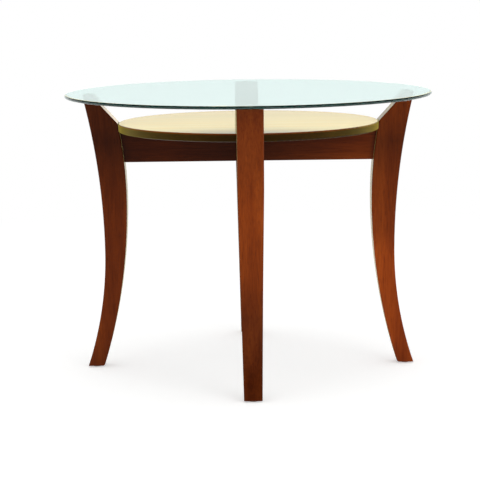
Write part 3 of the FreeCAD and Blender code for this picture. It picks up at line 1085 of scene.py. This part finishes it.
@dataclass(frozen=True)
class StripLamp:
    """A long warm lamp behind the table that faces the front and shows only as a reflection."""

    name: str
    place: Point
    size: Span
    colour: Colour
    power: float
    tilt: float = -90.0

    def hang(self) -> None:
        """Hangs the lamp."""
        light = bpy.data.lights.new(self.name, "AREA")
        light.shape = "RECTANGLE"
        light.size, light.size_y = self.size
        light.color = self.colour
        light.energy = self.power
        lamp = bpy.data.objects.new(self.name, light)
        lamp.visible_camera = False
        lamp.visible_transmission = False
        lamp.location = self.place
        lamp.rotation_euler = (math.radians(self.tilt), 0.0, 0.0)
        bpy.context.scene.collection.objects.link(lamp)


@dataclass
class Studio:
    """A plain white floor, a white surround, soft lamps and strips that the lacquer mirrors."""

    floor_half: float = 14.0
    floor_cells: int = 24
    floor_colour: Colour = (0.8, 0.8, 0.795)
    floor_mottle: float = 0.985
    floor_pattern: Pattern = Pattern(90.0, detail=2.0)
    floor_lift: float = 0.46
    floor_fade: Span = (0.8, 2.2)
    surround: float = 0.74
    mirror_rise: Span = (0.1, 0.32)
    mirror_overhead: float = 0.12
    lamps: tuple[SoftBox | StripLamp, ...] = (
        StripLamp("far_high_strip", (0.0, 12.0, 1.8), (5.0, 0.46), (1.0, 0.82, 0.2), 9.6),
        StripLamp("far_low_strip", (0.0, 12.0, 1.1), (6.0, 0.36), (1.0, 0.8, 0.62), 11.4),
        SoftBox("front_right_softbox", (1.5, -1.9, 1.1), (0.15, 0.0, 0.3), 1.5, 9.0),
        SoftBox("front_left_softbox", (-2.4, -2.4, 1.7), (0.0, 0.0, 0.3), 1.8, 3.0),
        SoftBox("overhead_softbox", (0.0, 0.3, 3.0), (0.0, 0.0, 0.3), 2.4, 6.0),
    )

    def build(self) -> None:
        """Sets the floor, the surround and the lamps."""
        self._floor()
        self._surround()
        for lamp in self.lamps:
            lamp.hang()

    def _floor(self) -> None:
        """Lays the pale floor, which keeps the table's shadow."""
        work = bmesh.new()
        cells = self.floor_cells
        bmesh.ops.create_grid(work, x_segments=cells, y_segments=cells, size=self.floor_half)
        mesh = bpy.data.meshes.new("studio_floor")
        work.to_mesh(mesh)
        work.free()
        mesh.materials.append(self._floor_paint())
        floor = bpy.data.objects.new("studio_floor", mesh)
        bpy.context.scene.collection.objects.link(floor)

    def _floor_paint(self) -> bpy.types.Material:
        """Builds the floor's matt paint, which is lifted where it is seen and plain white further out.

        Returns:
            The finished material.
        """
        nodes = NodeBoard(bpy.data.materials.new("studio_floor_white"))
        place = nodes.place()
        matt = nodes.add("ShaderNodeBsdfDiffuse")
        mottled = tuple(self.floor_mottle * part for part in self.floor_colour)
        mottle = nodes.noise(place, self.floor_pattern)
        paint = nodes.ramp(mottle, zip(NOISE_SPAN, (mottled, self.floor_colour)))
        nodes.join(paint, matt.inputs["Color"])
        glow = nodes.add("ShaderNodeEmission")
        glow.inputs["Strength"].default_value = self.floor_lift
        lifted = nodes.add("ShaderNodeAddShader")
        nodes.join(matt.outputs["BSDF"], lifted.inputs[0])
        nodes.join(glow.outputs["Emission"], lifted.inputs[1])
        reach = nodes.add("ShaderNodeVectorMath", operation="LENGTH")
        nodes.join(place, reach.inputs[0])
        far = nodes.span(reach.outputs["Value"], self.floor_fade, UNIT)
        white = nodes.add("ShaderNodeEmission")
        pale = nodes.choose(far, lifted.outputs["Shader"], white.outputs["Emission"])
        rays = nodes.add("ShaderNodeLightPath")
        seen = rays.outputs["Is Camera Ray"]
        for ray in ("Is Glossy Ray", "Is Transmission Ray"):
            seen = nodes.sum(Sum.LARGER, seen, rays.outputs[ray])
        surface = nodes.choose(seen, matt.outputs["BSDF"], pale)
        nodes.join(surface, nodes.output.inputs["Surface"])
        return nodes.owner

    def _surround(self) -> None:
        """Sets the surround.

        It is white where the camera sees it, darker overhead where it is mirrored or shows through the
        glass, and softer where it lights the table.
        """
        nodes = NodeBoard(bpy.data.worlds.new("studio_surround"))
        soft, mirrored, white = (nodes.add("ShaderNodeBackground") for _ in range(3))
        for background in (soft, mirrored, white):
            background.inputs["Color"].default_value = (*WHITE, 1.0)
        soft.inputs["Strength"].default_value = self.surround
        height = nodes.along(Coordinates.DIRECTION, Axis.UPRIGHT)
        fade = nodes.span(height, self.mirror_rise, (1.0, self.mirror_overhead))
        nodes.join(fade, mirrored.inputs["Strength"])
        rays = nodes.add("ShaderNodeLightPath")
        shown = soft.outputs["Background"]
        for ray, background in (
            ("Is Glossy Ray", mirrored),
            ("Is Transmission Ray", mirrored),
            ("Diffuse Depth", soft),
            ("Is Camera Ray", white),
        ):
            shown = nodes.choose(rays.outputs[ray], shown, background.outputs["Background"])
        nodes.join(shown, nodes.output.inputs["Surface"])
        bpy.context.scene.world = nodes.owner


@dataclass
class PhotoCamera:
    """The camera at the photograph's viewing angle: almost level, a touch left of the front leg."""

    place: Point = (-0.0395, -3.6138, 0.8257)
    pan: float = -0.315
    tilt: float = 8.937
    roll: float = -0.7
    lens: float = 134.6
    sensor: float = 36.0

    def build(self) -> None:
        """Sets the camera."""
        view = bpy.data.cameras.new("photo_camera")
        view.lens = self.lens
        view.sensor_width = self.sensor
        view.sensor_fit = "HORIZONTAL"
        camera = bpy.data.objects.new("photo_camera", view)
        camera.location = self.place
        aim = Euler((math.radians(90.0 - self.tilt), 0.0, math.radians(self.pan)), "XYZ")
        twist = Euler((0.0, 0.0, math.radians(self.roll)), "XYZ")
        camera.rotation_euler = (aim.to_quaternion() @ twist.to_quaternion()).to_euler()
        bpy.context.scene.collection.objects.link(camera)
        bpy.context.scene.camera = camera


def clear_start_scene() -> None:
    """Empties the scene that Blender starts with."""
    for thing in list(bpy.data.objects):
        bpy.data.objects.remove(thing, do_unlink=True)


def main() -> None:
    """Builds the picture piece by piece."""
    logging.basicConfig(level=logging.INFO, format="%(message)s")
    clear_start_scene()
    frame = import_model()
    WoodenFrame().dress(frame["nodes"])
    RoundGlass().build()
    SoftFittings().build()
    SteelFasteners().build()
    Studio().build()
    PhotoCamera().build()
    bpy.context.scene.view_settings.view_transform = "Standard"


if __name__ == "__main__":
    main()
